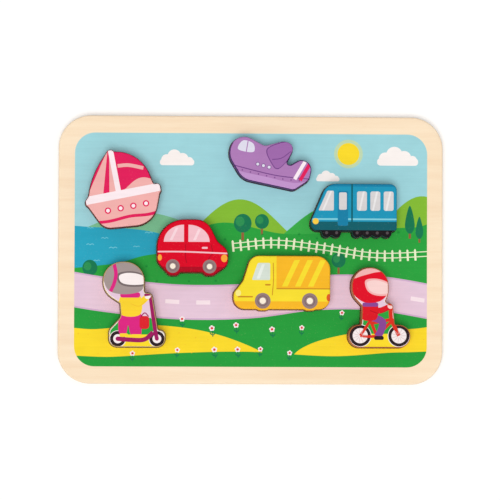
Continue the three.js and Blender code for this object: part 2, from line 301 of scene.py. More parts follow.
def nearest(outline, points):
    """For each point, its distance from an outline, the nearest side and the share along that side"""
    run = np.roll(outline, -1, 0) - outline
    gap = points[:, None] - outline
    share = np.clip((gap * run).sum(2) / (run ** 2).sum(1), 0, 1)
    away = np.linalg.norm(gap - share[..., None] * run, axis=2)
    side = away.argmin(1)
    row = np.arange(len(points))
    return away[row, side], side, share[row, side]


def triangulated(loops):
    """Triangles that keep every side of these closed loops, with the input point of each corner"""
    points = [Vector(p) for loop in loops for p in loop]
    starts = np.cumsum([0] + [len(loop) for loop in loops])
    sides = [(start + i, start + (i + 1) % len(loop))
             for start, loop in zip(starts.tolist(), loops) for i in range(len(loop))]
    corners, _, triangles, origins, _, _ = delaunay_2d_cdt(points, sides, [], 0, joining_gap, True)
    return np.array(corners), np.array(triangles), origins


def cut_sheet(name, walls, low, high, inks=(), window=None, side_ink=no_ink):
    """A sheet cut to its outline and cut-outs, with rounded rims and a face printed with inks.

    walls holds (outline, top radius, foot radius, +1 for the outline or -1 for a cut-out), inks holds
    (outline, colour) from the first printed to the last, and window is where the print stays within.
    """
    rims = [drawn_in(wall, turn) for wall in walls for turn in (ink_turns if wall[1] else ink_turns[:1])]
    edge, *holes = [drawn_in(wall, ink_turns[0]) for wall in walls]
    prints = [outline for outline, _ in inks] + ([] if window is None else [window])
    flat, triangles, _ = triangulated([*rims, *prints])
    middles = flat[triangles].mean(1)
    kept = between(edge, holes, middles)
    triangles, middles = triangles[kept], middles[kept]
    colours = np.tile(np.array(no_ink), (len(triangles), 1))
    free = np.ones(len(triangles), bool) if window is None else inside(window, middles)
    for outline, colour in reversed(inks):
        taken = np.flatnonzero(free)
        taken = taken[inside(outline, middles[taken])]
        colours[taken] = colour
        free[taken] = False

    heights = np.full(len(flat), float(high))
    for outline, top, _, _ in walls:
        reach = ((flat > outline.min(0) - top) & (flat < outline.max(0) + top)).all(1)
        near = np.flatnonzero(reach)
        depth = np.minimum(nearest(outline, flat[near])[0], top)
        heights[near] -= top - np.sqrt(np.maximum(top ** 2 - (top - depth) ** 2, 0))
    used, triangles = np.unique(triangles, return_inverse=True)
    triangles = triangles.reshape(-1, 3)
    flat, heights = flat[used], heights[used]
    points = [np.column_stack([flat, heights])]
    worn = [(heights < high - level_gap) * 1.0]
    faces = triangles.tolist()
    level = heights[triangles].min(1) > high - level_gap

    directed = {(a, b) for t in faces for a, b in zip(t, t[1:] + t[:1])}
    follows = {a: b for a, b in directed if (b, a) not in directed}
    side_faces, foot_rings, plans, count = [], [], [], len(flat)
    while follows:
        ring = [next(iter(follows))]
        while ring[-1] in follows:
            ring.append(follows.pop(ring[-1]))
        ring = ring[:-1]
        edge = flat[ring]
        away = [nearest(outline, edge[:1])[0][0] for outline, _, _, _ in walls]
        outline, top, foot, way = walls[int(np.argmin(away))]
        _, side, share = nearest(outline, edge)
        after = np.roll(outline, -1, 0)[side]
        seat = outline[side] + share[:, None] * (after - outline[side])
        normal = outward(outline)
        normal = normal[side] * (1 - share[:, None]) + np.roll(normal, -1, 0)[side] * share[:, None]
        steps = [(top * (1 - math.cos(t)), high - top * (1 - math.sin(t)), 1) for t in side_turns if top]
        steps += [(0, high - top - wall_support, 0), (0, low + foot + wall_support, 0)]
        steps += [(foot * (1 - math.cos(t)), low + foot * (1 - math.sin(t)), 0) for t in foot_turns if foot]
        steps += [] if foot else [(0, low, 0)]
        for inset, height, wear in steps:
            points.append(np.column_stack([seat - way * normal * inset, np.full(len(ring), height)]))
            worn.append(np.full(len(ring), float(wear)))
            below = list(range(count, count + len(ring)))
            count += len(ring)
            side_faces += [(ring[i - 1], below[i - 1], below[i], ring[i]) for i in range(len(ring))]
            ring = below
        foot_rings.append(ring)
        plans.append(edge)
    points = np.concatenate(points)
    underside = np.concatenate(foot_rings)
    corners, triangles, origins = triangulated(plans)
    middles = corners[triangles].mean(1)
    largest = max(plans, key=lambda plan: np.ptp(plan[:, 0]))
    kept = between(largest, [plan for plan in plans if plan is not largest], middles)
    foot_faces = [[underside[origins[i][0]] for i in t[::-1]] for t in triangles[kept]]

    mesh = bpy.data.meshes.new(name)
    mesh.from_pydata(points.tolist(), [], faces + side_faces + foot_faces)
    kinds = np.repeat([0, 1, 2], [len(faces), len(side_faces), len(foot_faces)])
    mesh.polygons.foreach_set("material_index", kinds.astype(np.int32))
    smooth = kinds == 1
    smooth[:len(faces)] = ~level
    mesh.polygons.foreach_set("use_smooth", smooth)
    face_inks = np.concatenate([colours, np.tile(np.array(side_ink), (len(kinds) - len(faces), 1))])
    corners = np.concatenate([np.full(len(f), i) for i, f in enumerate(faces + side_faces + foot_faces)])
    carry_inks(mesh, face_inks[corners])
    mesh.attributes.new("rim", "FLOAT", "POINT").data.foreach_set("value", np.concatenate(worn))
    mesh.update()
    return mesh


def in_place(mesh, place, *finishes):
    """A cut sheet in its place, with the materials of its face, its sides and its underside"""
    mesh.transform(place)
    for finish in finishes:
        mesh.materials.append(finish)
    return show(mesh.name, mesh)


def carry_inks(mesh, colours):
    """Puts an ink on every corner of a mesh"""
    inks = mesh.color_attributes.new("ink", "FLOAT_COLOR", "CORNER")
    inks.data.foreach_set("color", np.ravel(colours))


def ink(red, green, blue, cover=1.0):
    """A print colour from its 8-bit values, as linear light"""
    light = []
    for value in (red, green, blue):
        light.append(((value / 255 + 0.055) / 1.055) ** 2.4 if value > 10 else value / 255 / 12.92)
    return (*light, cover)


def node_group(name, inputs, outputs, kind="ShaderNodeTree"):
    """An empty node group with named inputs and outputs, and its two end nodes"""
    tree = bpy.data.node_groups.new(name, kind)
    for way, sockets in (("INPUT", inputs), ("OUTPUT", outputs)):
        for label, socket in sockets.items():
            tree.interface.new_socket(label, in_out=way, socket_type="NodeSocket" + socket)
    return tree, add(tree, "NodeGroupInput").outputs, add(tree, "NodeGroupOutput")


def mixed(tree, factor, first, second, **settings):
    """The colour between two colours at a factor"""
    return add(tree, "ShaderNodeMix", {"Factor_Float": factor, "A_Color": first, "B_Color": second},
               data_type="RGBA", **settings).outputs[2]


def ranged(tree, value, low, high, to_low=0.0, to_high=1.0):
    """A value moved from one range to another, held within it"""
    return add(tree, "ShaderNodeMapRange", {"Value": value, "From Min": low, "From Max": high,
                                            "To Min": to_low, "To Max": to_high}).outputs["Result"]


def noise(tree, vector, stretch, detail=3.0):
    """A noise whose grains measure 1 / stretch metres along each axis"""
    mapped = add(tree, "ShaderNodeMapping", {"Vector": vector, "Scale": stretch}).outputs[0]
    grains = add(tree, "ShaderNodeTexNoise", {"Vector": mapped, "Scale": 1.0, "Detail": detail})
    return grains.outputs["Fac"]


# Grain of peeled birch: broad pale bands, fine fibres and short dark pores, all along one way
grain_tree, grain_in, grain_out = node_group(
    "birch grain", {"Turn": "Vector", "Pale": "Color", "Deep": "Color"},
    {"Color": "Color", "Height": "Float"})
grain_place = add(grain_tree, "ShaderNodeTexCoord").outputs["Object"]
grain_turned = add(grain_tree, "ShaderNodeMapping", {"Vector": grain_place, "Rotation": grain_in["Turn"]})
grain_way = grain_turned.outputs[0]
grain_band = noise(grain_tree, grain_way, grain_band_stretch)
grain_fibre = noise(grain_tree, grain_way, grain_fibre_stretch)
grain_speck = noise(grain_tree, grain_way, grain_pore_stretch, detail=1.0)
grain_pore = ranged(grain_tree, grain_speck, *grain_pore_edges)
grain_tone = calculated(grain_tree, "ADD", ranged(grain_tree, grain_band, *grain_band_tone),
                        ranged(grain_tree, grain_fibre, *grain_fibre_tone))
grain_tone = calculated(grain_tree, "MULTIPLY_ADD", grain_pore, grain_pore_tone, grain_tone)
grain_colour = mixed(grain_tree, grain_tone, grain_in["Pale"], grain_in["Deep"])
feed(grain_tree, grain_out.inputs["Color"], grain_colour)
feed(grain_tree, grain_out.inputs["Height"], grain_fibre)


def placed(tree, group, **inputs):
    """A shader node group placed in a material with its own values"""
    named = {name.title(): value for name, value in inputs.items()}
    return add(tree, "ShaderNodeGroup", named, node_tree=group).outputs


def finish_material(tree, colour, roughness, bump, height):
    """Ends a material: its colour, roughness and bump go to the shader"""
    relief = add(tree, "ShaderNodeBump", {"Strength": 1.0, "Distance": bump, "Height": height}).outputs[0]
    qualities = {"Base Color": colour, "Roughness": roughness, "Normal": relief,
                 "Specular IOR Level": lacquer_gloss}
    for quality, value in qualities.items():
        feed(tree, tree.nodes["Principled BSDF"].inputs[quality], value)


def bare_wood(name, pale, deep, grain_turn=0.0):
    """Sanded birch with a thin clear lacquer"""
    material, tree = new_material(name)
    grain = placed(tree, grain_tree, turn=(0, 0, grain_turn), pale=pale, deep=deep)
    finish_material(tree, grain["Color"], bare_roughness, bare_relief, grain["Height"])
    return material


def ply_edge(name, pale, deep, layer_mm, first_mm):
    """Sawn plywood edge: layers with the grain along and across in turn, with dark glue lines"""
    material, tree = new_material(name)
    place = add(tree, "ShaderNodeTexCoord").outputs["Object"]
    height = add(tree, "ShaderNodeSeparateXYZ", {"Vector": place}).outputs["Z"]
    layer = calculated(tree, "MULTIPLY_ADD", height, 1 / (layer_mm * MM), -first_mm / layer_mm)
    wander = ranged(tree, noise(tree, place, sawn_wander_stretch), *sawn_wander)
    layer = calculated(tree, "ADD", layer, wander)
    from_glue = calculated(tree, "PINGPONG", layer, 1.0)
    across = ranged(tree, calculated(tree, "MODULO", layer, 2.0), *sawn_turn_of_grain)
    pores = ranged(tree, noise(tree, place, sawn_pore_stretch), *sawn_pores)
    streaks = ranged(tree, noise(tree, place, sawn_streak_stretch), *sawn_streaks)
    tone = mixed(tree, across, mixed(tree, streaks, pale, deep), mixed(tree, pores, deep, pore_brown))
    colour = mixed(tree, ranged(tree, from_glue, *glue_line_tone), tone, glue_brown)
    hollow = ranged(tree, from_glue, *glue_line_hollow)
    finish_material(tree, colour, sawn_roughness, sawn_relief, hollow)
    return material


recess_floor = bare_wood("bare birch", ink(247, 222, 186), ink(226, 190, 146))
backing_sawn = ply_edge(
    "backing ply edge", ink(244, 216, 176), ink(221, 184, 138), ply_thickness, backing_low)
backing_outline = section("backing_board", backing_high - ply_thickness)[0]
backing_mesh = cut_sheet("backing_board_sheet", [(backing_outline, 0.0, board_edge_radius, 1)],
                         backing_low, backing_high)
backing = in_place(backing_mesh, to_metres, recess_floor, backing_sawn, recess_floor)
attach(backing, "board")
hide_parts("backing_board")

# Tray board: a thicker sheet of five-ply birch, glued on the backing, with one cut-out for each
# piece. Its face is printed with a landscape inside a bare border, under a satin lacquer.
tray_high = 9.0
tray_ply = 1.2
recess_ease = 0.3
picture_left = -128.2
picture_right = 128.6
picture_low = -85.0
picture_high = 85.0
picture_corner = 14.7
ink_relief = 0.012 * MM
film_cloud_stretch = (70, 110, 70)
film_streak_stretch = (28, 700, 28)
film_speck_stretch = (1500, 1900, 1500)
film_cloud_tone = (0.3, 0.7, 0.97, 1.02)
film_streak_tone = (0.35, 0.75, 1.0, 0.955)
film_pinhole_cover = (0.7, 0.8, 1.0, 0.86)
film_roughness = (0, 1, 0.52, 0.4)

wood_pale = ink(255, 234, 204)
wood_deep = ink(247, 219, 185)
sky = ink(162, 216, 223)
sun_glow = ink(196, 220, 180)
cloud_white = ink(255, 247, 243)
far_green = ink(126, 196, 150)
light_green = ink(135, 190, 55)
meadow_green = ink(44, 164, 64)
lower_green = ink(40, 160, 62)
hill_green = ink(60, 176, 74)
leaf_green = ink(26, 122, 82)
leaf_light = ink(46, 146, 84)
water = ink(44, 168, 196)
water_light = ink(120, 206, 222)
road_lilac = ink(234, 204, 222)
road_edge = ink(214, 178, 210)
dash_white = ink(252, 232, 238)
field_yellow = ink(253, 221, 45)
field_amber = ink(246, 196, 48)
fence_cream = ink(240, 246, 208)
trunk_brown = ink(150, 98, 62)
flower_white = ink(252, 240, 240)
flower_heart = ink(226, 60, 62)
grass_dark = ink(30, 142, 58)


def through(points, closed=True, steps=10):
    """A smooth curve through a few points"""
    points = np.array(points, float)
    ends = points
    if not closed:
        ends = np.concatenate([[2 * points[0] - points[1]], points, [2 * points[-1] - points[-2]]])
    spans = len(points) if closed else len(points) - 1
    curve = []
    for i in range(spans):
        a, b, c, d = (ends[(i + k - closed) % len(ends)] for k in range(4))
        for t in np.arange(steps) / steps:
            curve.append(b + 0.5 * t * (c - a + t * (2 * a - 5 * b + 4 * c - d + t * (3 * (b - c) + d - a))))
    return np.array(curve if closed else curve + [points[-1]])


def arc(x, y, width, height, turns):
    """Points round a middle, at some turns"""
    return np.column_stack([x + width * np.cos(turns), y + height * np.sin(turns)])


def disc(x, y, radius, flatness=1.0, steps=40):
    """A round or oval spot"""
    turns = np.linspace(0, 2 * math.pi, steps, endpoint=False)
    return arc(x, y, radius, radius * flatness, turns)


def panel(left, low, right, high, radius=0.01, steps=8):
    """A rectangle with round corners"""
    turns = np.linspace(0, math.pi / 2, steps)
    middles = [(right - radius, low + radius, -90), (right - radius, high - radius, 0),
               (left + radius, high - radius, 90), (left + radius, low + radius, 180)]
    return np.concatenate([arc(x, y, radius, radius, turns + math.radians(start)) for x, y, start in middles])


def pane(corners, radius, steps=6):
    """A polygon whose corners are rounded"""
    corners = np.array(corners, float)
    before = unit(np.roll(corners, 1, 0) - corners)
    after = unit(np.roll(corners, -1, 0) - corners)
    share = np.linspace(0, 1, steps)[:, None]
    return np.concatenate([
        corner + radius * (start * (1 - share) ** 2 + stop * share ** 2)
        for corner, start, stop in zip(corners, before, after)])


def band(points, width, steps=10):
    """A strip of even width along a smooth curve"""
    curve = through(points, closed=False, steps=steps)
    along = unit(np.gradient(curve, axis=0))
    side = np.column_stack([-along[:, 1], along[:, 0]]) * width / 2
    return np.concatenate([curve - side, (curve + side)[::-1]])


def hill(left, right, foot, top, flare=1.6, steps=32):
    """A round hill that flattens out at its foot"""
    share = np.linspace(0, 1, steps)
    rise = np.sin(math.pi * share) ** flare
    return np.column_stack([left + (right - left) * share, foot + (top - foot) * rise])


def cloud(x, y, length):
    """A flat-bottomed cloud of four puffs"""
    puffs = [(-0.3, 0.1, 0.16), (-0.08, 0.2, 0.2), (0.16, 0.13, 0.17), (0.36, 0.07, 0.11)]
    shapes = [disc(x + across * length, y + up * length, size * length) for across, up, size in puffs]
    low, high, half = y - 0.06 * length, y + 0.12 * length, 0.5 * length
    shapes.append(panel(x - half, low, x + half, high, 0.08 * length))
    return [(shape, cloud_white) for shape in shapes]


def round_tree(x, foot, height):
    """A round-headed tree with a lit side"""
    crown = height * 0.34
    return [(panel(x - 0.05 * height, foot, x + 0.05 * height, foot + 0.5 * height), trunk_brown),
            (disc(x, foot + height - crown, crown, 1.06), leaf_green),
            (disc(x - 0.3 * crown, foot + height - 0.8 * crown, 0.5 * crown, 1.1), leaf_light)]


def poplar(x, foot, height):
    """A slim tree"""
    return [(panel(x - 0.035 * height, foot, x + 0.035 * height, foot + 0.3 * height), trunk_brown),
            (through([(x, foot + 0.14 * height), (x + 0.15 * height, foot + 0.4 * height), (x, foot + height),
                      (x - 0.15 * height, foot + 0.4 * height)]), leaf_green)]


road_width = 23.0
road_verge = 1.2
fence_line = [(-13, 3), (18, 5.5), (52, 2), (92, -3.5), (134, -2)]
fence_rail = 0.7
road_line = [(-142, -27), (-104, -33), (-52, -38), (0, -37), (46, -31), (92, -31), (142, -39)]
picture_window = panel(picture_left, picture_low, picture_right, picture_high, picture_corner, steps=12)
landscape = [
    (panel(picture_left, picture_low, picture_right, picture_high), sky),
    (disc(71, 70.5, 10.5), sun_glow),
    (disc(71, 70.5, 8), field_yellow),
    *cloud(-54, 63, 25),
    *cloud(107, 64, 30),
    *cloud(56, 51.5, 17),
    (hill(-150, -8, 6, 27), far_green),
    (hill(-60, 44, 2, 37), light_green),
    (hill(80, 170, 6, 40), light_green),
    (hill(4, 116, 0, 33), hill_green),
    (through([(-150, 6), (-96, 13), (-56, 10), (-20, 20), (24, 12), (70, 14), (118, 17), (150, 14),
              (150, -95), (-150, -95)]), meadow_green),
    (through([(-150, 15), (-112, 16), (-78, 14), (-58, 8), (-62, -1), (-80, -5), (-104, -11),
              (-150, -12)]), water),
    *round_tree(-6, 7, 19),
    *round_tree(8, 11, 15),
    *poplar(116, 9, 24),
    *poplar(123, 6, 19),
    *round_tree(-117, -24, 16),
    *round_tree(64, -17, 15),
    *[(band([(x, y + up) for x, y in fence_line], fence_rail), fence_cream) for up in (-1.6, 1.8)],
    (np.concatenate([through(road_line, closed=False), [(150, -110), (-150, -110)]]), lower_green),
    (band(road_line, road_width + 2 * road_verge), road_edge),
    (band(road_line, road_width), road_lilac),
    (through([(-150, -60), (-112, -58), (-70, -55), (-30, -60), (4, -72), (20, -84), (10, -100),
              (-150, -100)]), field_yellow),
    (through([(150, -58), (116, -57), (76, -60), (44, -68), (30, -80), (40, -100),
              (150, -100)]), field_yellow),
    (through([(-150, -80), (-100, -78), (-50, -75), (0, -74), (60, -77), (110, -74), (150, -77),
              (150, -110), (-150, -110)]), lower_green),
]


def dimmed(tree, colour, share):
    """A colour times a value"""
    return add(tree, "ShaderNodeVectorMath", {"Vector": colour, "Scale": share}, operation="SCALE").outputs[0]


# Ink on wood: a thin film with uneven density, through which the grain and a few pores show
film_tree, film_in, film_out = node_group(
    "ink film", {"Ink": "Color", "Cover": "Float", "Wood": "Color"},
    {"Color": "Color", "Roughness": "Float", "Height": "Float"})
film_place = add(film_tree, "ShaderNodeTexCoord").outputs["Object"]
film_cloudy = ranged(film_tree, noise(film_tree, film_place, film_cloud_stretch), *film_cloud_tone)
film_streak = ranged(film_tree, noise(film_tree, film_place, film_streak_stretch), *film_streak_tone)
film_speck = noise(film_tree, film_place, film_speck_stretch, detail=1.0)
film_pinhole = ranged(film_tree, film_speck, *film_pinhole_cover)
film_cover = calculated(film_tree, "MULTIPLY", film_pinhole, film_in["Cover"])
film_dense = calculated(film_tree, "MULTIPLY", film_cloudy, film_streak)
film_colour = mixed(film_tree, film_cover, film_in["Wood"], dimmed(film_tree, film_in["Ink"], film_dense))
feed(film_tree, film_out.inputs["Color"], film_colour)
feed(film_tree, film_out.inputs["Roughness"], ranged(film_tree, film_cover, *film_roughness))
feed(film_tree, film_out.inputs["Height"], film_speck)


def printed_wood(name, pale, deep, grain_turn=0.0):
    """Birch printed with the inks that its mesh carries, bare where there is none"""
    material, tree = new_material(name)
    print_ink = add(tree, "ShaderNodeAttribute", attribute_name="ink").outputs
    grain = placed(tree, grain_tree, turn=(0, 0, grain_turn), pale=pale, deep=deep)
    film = placed(tree, film_tree, ink=print_ink["Color"], cover=print_ink["Alpha"], wood=grain["Color"])
    relief = calculated(tree, "ADD", grain["Height"], film["Height"])
    finish_material(tree, film["Color"], film["Roughness"], ink_relief, relief)
    return material


tray_outline, *recesses = section("tray_board", backing_high + tray_ply)
tray_walls = [(tray_outline, board_edge_radius, 0.0, 1), *[(hole, recess_ease, 0.0, -1) for hole in recesses]]
tray_mesh = cut_sheet("tray_board_sheet", tray_walls, backing_high, tray_high, landscape, picture_window)
tray_print = printed_wood("printed birch", wood_pale, wood_deep)
tray_sawn = ply_edge("tray ply edge", ink(246, 219, 181), ink(224, 188, 142), tray_ply, backing_high)
tray = in_place(tray_mesh, to_metres, tray_print, tray_sawn, recess_floor)
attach(tray, "board")
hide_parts("tray_board")

# Small marks of the landscape: road dashes, a picket fence, grass, waves, field specks and flowers,
# all of printing ink. Each kind is one stamp, pressed on again and again along a line or over the
# print of one colour, clear of the recesses and of the border.
stamp_film = 0.04
stamp_root = 0.03
dash_length = 10.2
dash_width = 3.0
dash_pitch = 21.0
dash_room = 0.62 * dash_length
road_end = 4.0
picket_width = 1.5
picket_height = 8.5
picket_shoulder = 0.4 * picket_height
picket_pitch = 5.4
picket_room = 0.6 * picket_height
fence_end = 2.0
tuft_height = 2.6
tuft_width = 0.55
wave_length = 6.0
speck_length = 1.5
petal_ring = 1.25
petal_radius = 0.95
stem_length = 6.4
stem_width = 0.55
border_strip = 5.0
same_ink = 1e-3


def stamp(name, shapes):
    """A thin closed film of ink for each (outline, colour), the later ones on top"""
    points, faces, inks = [], [], []
    for layer, (outline, colour) in enumerate(shapes):
        outline = anticlockwise(outline)
        first, count = len(points), len(outline)
        points += [(x, y, -stamp_root) for x, y in outline]
        points += [(x, y, stamp_film * (layer + 1)) for x, y in outline]
        low, high = list(range(first, first + count)), list(range(first + count, first + 2 * count))
        sides = [(low[i - 1], low[i], high[i], high[i - 1]) for i in range(count)]
        film = [low[::-1], high, *sides]
        faces += film
        inks += [colour] * sum(len(face) for face in film)
    mesh = bpy.data.meshes.new(name)
    mesh.from_pydata(points, [], faces)
    carry_inks(mesh, inks)
    mesh.transform(to_metres)
    return show(name, mesh)


def stamping_tree(name, **sizes):
    """An empty tree with the inputs that every stamping shares, and its two end nodes"""
    inputs = {"Geometry": "Geometry", "Stamp": "Object", "Keep Clear": "Object", "Clearance": "Float",
              "Ink": "Material", **sizes}
    return node_group(name, inputs, {"Geometry": "Geometry"}, "GeometryNodeTree")


def stamped(tree, sockets, end, points, rotation, scale):
    """Ends a stamping tree: one stamp on each point that is clear of what must stay clear"""
    obstacle = add(tree, "GeometryNodeObjectInfo", {"Object": sockets["Keep Clear"]}).outputs["Geometry"]
    gap = add(tree, "GeometryNodeProximity", {"Target": obstacle}, target_element="FACES").outputs["Distance"]
    clear = add(tree, "FunctionNodeCompare", {"A": gap, "B": sockets["Clearance"]},
                data_type="FLOAT", operation="GREATER_EQUAL").outputs[0]
    shape = add(tree, "GeometryNodeObjectInfo", {"Object": sockets["Stamp"], "As Instance": True})
    copies = add(tree, "GeometryNodeInstanceOnPoints", {
        "Points": points, "Selection": clear, "Instance": shape.outputs["Geometry"],
        "Rotation": rotation, "Scale": scale}).outputs[0]
    whole = add(tree, "GeometryNodeRealizeInstances", {"Geometry": copies}).outputs[0]
    inked = add(tree, "GeometryNodeSetMaterial", {"Geometry": whole, "Material": sockets["Ink"]}).outputs[0]
    tree.links.new(inked, end.inputs["Geometry"])


row_tree, row_in, row_end = stamping_tree("stamps along a line", Pitch="Float")
row_curve = add(row_tree, "GeometryNodeMeshToCurve", {"Mesh": row_in["Geometry"]}).outputs[0]
row_points = add(row_tree, "GeometryNodeResampleCurve", {"Curve": row_curve, "Length": row_in["Pitch"]},
                 mode="LENGTH").outputs[0]
row_tangent = add(row_tree, "GeometryNodeInputTangent").outputs[0]
row_turn = add(row_tree, "FunctionNodeAlignRotationToVector", {"Vector": row_tangent},
               axis="X", pivot_axis="Z").outputs[0]
stamped(row_tree, row_in, row_end, row_points, row_turn, (1, 1, 1))

spread_tree, spread_in, spread_end = stamping_tree(
    "stamps over an area", Spacing="Float", Density="Float", Smallest="Float", Lean="Float", Seed="Int")
spread_points = add(spread_tree, "GeometryNodeDistributePointsOnFaces", {
    "Mesh": spread_in["Geometry"], "Distance Min": spread_in["Spacing"],
    "Density Max": spread_in["Density"], "Seed": spread_in["Seed"],
}, distribute_method="POISSON").outputs["Points"]
spread_back = calculated(spread_tree, "MULTIPLY", spread_in["Lean"], -1.0)
spread_size, spread_lean = [
    add(spread_tree, "FunctionNodeRandomValue", {
        "Min_001": least, "Max_001": most, "Seed": spread_in["Seed"]}, data_type="FLOAT").outputs[1]
    for least, most in ((spread_in["Smallest"], 1.0), (spread_back, spread_in["Lean"]))]
spread_turn = add(spread_tree, "ShaderNodeCombineXYZ", {"Z": spread_lean}).outputs[0]
stamped(spread_tree, spread_in, spread_end, spread_points, spread_turn, spread_size)


def printed_again(name, body, slot, base, tree, shape, **settings):
    """Runs a stamping tree on a base mesh and keeps the marks as one plain piece of a body"""
    marks = show(name, base)
    rule = marks.modifiers.new("stamping", "NODES")
    rule.node_group = tree
    settings["stamp"] = shape
    for item in tree.interface.items_tree:
        key = item.name.lower().replace(" ", "_")
        if item.in_out == "INPUT" and key in settings:
            rule[item.identifier] = settings[key]
    finished = marks.evaluated_get(bpy.context.evaluated_depsgraph_get())
    mesh = bpy.data.meshes.new_from_object(finished)
    marks.modifiers.remove(rule)
    marks.data = mesh
    bpy.data.objects.remove(shape)
    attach(marks, body)


def line(name, points, height, place, closed=False):
    """A drawn line as a mesh of edges, for a stamping to follow"""
    mesh = bpy.data.meshes.new(name)
    edges = [(i, i + 1) for i in range(len(points) - 1)] + ([(len(points) - 1, 0)] if closed else [])
    mesh.from_pydata([(x, y, height) for x, y in points], edges, [])
    mesh.transform(place)
    return mesh


def printed_area(name, mesh, colour):
    """The part of a printed face that shows one ink, as a mesh of its own"""
    inks = np.empty(4 * len(mesh.loops))
    mesh.color_attributes["ink"].data.foreach_get("color", inks)
    inks = inks.reshape(-1, 4)
    faces = [face.vertices[:] for face in mesh.polygons
             if np.abs(inks[face.loop_start] - colour).max() < same_ink]
    area = bpy.data.meshes.new(name)
    area.from_pydata([vertex.co for vertex in mesh.vertices], [], faces)
    return area


border_strips = [panel(left, low, right, high) for left, low, right, high in (
    (picture_left - border_strip, picture_low, picture_left, picture_high),
    (picture_right, picture_low, picture_right + border_strip, picture_high),
    (picture_left, picture_low - border_strip, picture_right, picture_low),
    (picture_left, picture_high, picture_right, picture_high + border_strip))]
unprinted = [*recesses, *border_strips]
unprinted_mesh = bpy.data.meshes.new("unprinted areas")
unprinted_starts = np.cumsum([0] + [len(area) for area in unprinted]).tolist()
unprinted_mesh.from_pydata(
    [(x, y, tray_high) for area in unprinted for x, y in area], [],
    [list(range(start, stop)) for start, stop in zip(unprinted_starts, unprinted_starts[1:])])
unprinted_mesh.transform(to_metres)
unprinted_areas = show("unprinted areas", unprinted_mesh)


def printed_on_board(name, base, tree, shape, **settings):
    """Marks on the board's face, clear of the recesses and of the border"""
    printed_again(name, "board", "printed_plywood", base, tree, shape,
                  keep_clear=unprinted_areas, ink=tray_print, **settings)


dash = panel(-dash_length / 2, -dash_width / 2, dash_length / 2, dash_width / 2, 0.3)
road_middle = [point for point in through(road_line, closed=False)
               if picture_left + road_end < point[0] < picture_right - road_end]
printed_on_board("road_dashes", line("road middle", road_middle, tray_high, to_metres), row_tree,
                 stamp("dash", [(dash, dash_white)]),
                 clearance=dash_room * MM, pitch=dash_pitch * MM)

picket = np.array([(-picket_width / 2, -picket_height / 2), (picket_width / 2, -picket_height / 2),
                   (picket_width / 2, picket_shoulder), (0, picket_height / 2),
                   (-picket_width / 2, picket_shoulder)])
fence_run = [point for point in through(fence_line, closed=False) if point[0] < picture_right - fence_end]
printed_on_board("fence_pickets", line("fence", fence_run, tray_high, to_metres), row_tree,
                 stamp("picket", [(picket, fence_cream)]),
                 clearance=picket_room * MM, pitch=picket_pitch * MM)

blades = [np.array([(foot - 0.35, 0), (foot + 0.35, 0), (tip, height)]) * tuft_height * [tuft_width, 1]
          for foot, tip, height in ((0, 0, 1), (-0.3, -0.62, 0.72), (0.3, 0.62, 0.72))]
printed_on_board("grass_tufts", printed_area("meadow", tray_mesh, meadow_green), spread_tree,
                 stamp("tuft", [(blade, grass_dark) for blade in blades]),
                 clearance=3 * MM, spacing=13 * MM, density=9000.0, smallest=0.7, lean=0.12, seed=4)

wave = band([(-0.5, 0), (-0.25, 0.12), (0, 0), (0.25, 0.12), (0.5, 0)], 0.09) * wave_length
printed_on_board("lake_waves", printed_area("lake", tray_mesh, water), spread_tree,
                 stamp("wave", [(wave, water_light)]),
                 clearance=4 * MM, spacing=9 * MM, density=20000.0, smallest=0.7, lean=0.0, seed=2)

speck = disc(0, 0, speck_length / 2, flatness=0.4, steps=12)
printed_on_board("field_specks", printed_area("fields", tray_mesh, field_yellow), spread_tree,
                 stamp("speck", [(speck, field_amber)]),
                 clearance=2 * MM, spacing=7 * MM, density=20000.0, smallest=0.5, lean=0.6, seed=7)

leaves = [through(np.array([(0, -foot), (side * 1.1, 0.24 - foot), (side * 2.1, 0.36 - foot),
                            (side * 1.4, 0.1 - foot)]) * [1, stem_length], steps=5)
          for side, foot in ((1, 0.86), (-1, 0.8))]
stem = panel(-stem_width / 2, -stem_length, stem_width / 2, 0)
petals = [disc(petal_ring * math.cos(turn), petal_ring * math.sin(turn), petal_radius, steps=12)
          for turn in np.radians([18, 90, 162, 234, 306])]
flower = [*[(shape, leaf_green) for shape in (stem, *leaves)], *[(petal, flower_white) for petal in petals],
          (disc(0, 0, petal_radius, steps=12), flower_heart)]
flower = [(shape + [0, stem_length / 2], colour) for shape, colour in flower]
printed_on_board("meadow_flowers", printed_area("flower meadow", tray_mesh, lower_green), spread_tree,
                 stamp("flower", flower),
                 clearance=4.6 * MM, spacing=15 * MM, density=9000.0, smallest=0.85, lean=0.15, seed=11)
bpy.data.objects.remove(unprinted_areas)

# Boat: a thick piece of birch, sawn to the outline of a boat under sail and tilted in its recess.
# Its rim is rounded, its face is printed in pinks and its sides are brushed with dark raspberry.
piece_low = backing_high
piece_high = 23.0
piece_top_radius = 1.2
piece_foot_radius = 0.6
boat_tilt = math.radians(11.3)
raspberry = ink(228, 32, 92)
boat_pink = ink(243, 178, 174)
boat_white = ink(253, 236, 240)
boat_side = ink(142, 20, 46, 0.93)
# Line along the sails' edge, darker than the side paint: partly that paint over the rim, partly painted shade
# of the edge
boat_rim_paint_and_shade = ink(96, 16, 40)
boat_rim_width = 0.42
stroke_stretch = (38, 38, 1500)
stroke_tones = (0.3, 0.7, 0.84, 1.1)
stroke_relief = 0.03 * MM
wear_stretch = (240, 240, 240)
wear_patches = (0.5, 0.72)
wear_depth = (0.25, 0.8, 0.0, 0.08)
no_clearance = -1.0
side_pale = ink(240, 210, 166)
side_deep = ink(178, 128, 82)
gunwale_low = 21.5
gunwale_high = 27.3
mast_left = 23.2
mast_right = 27.0
porthole_line = [(15, 14.5), (43, 14.5)]
porthole_pitch = 8.9

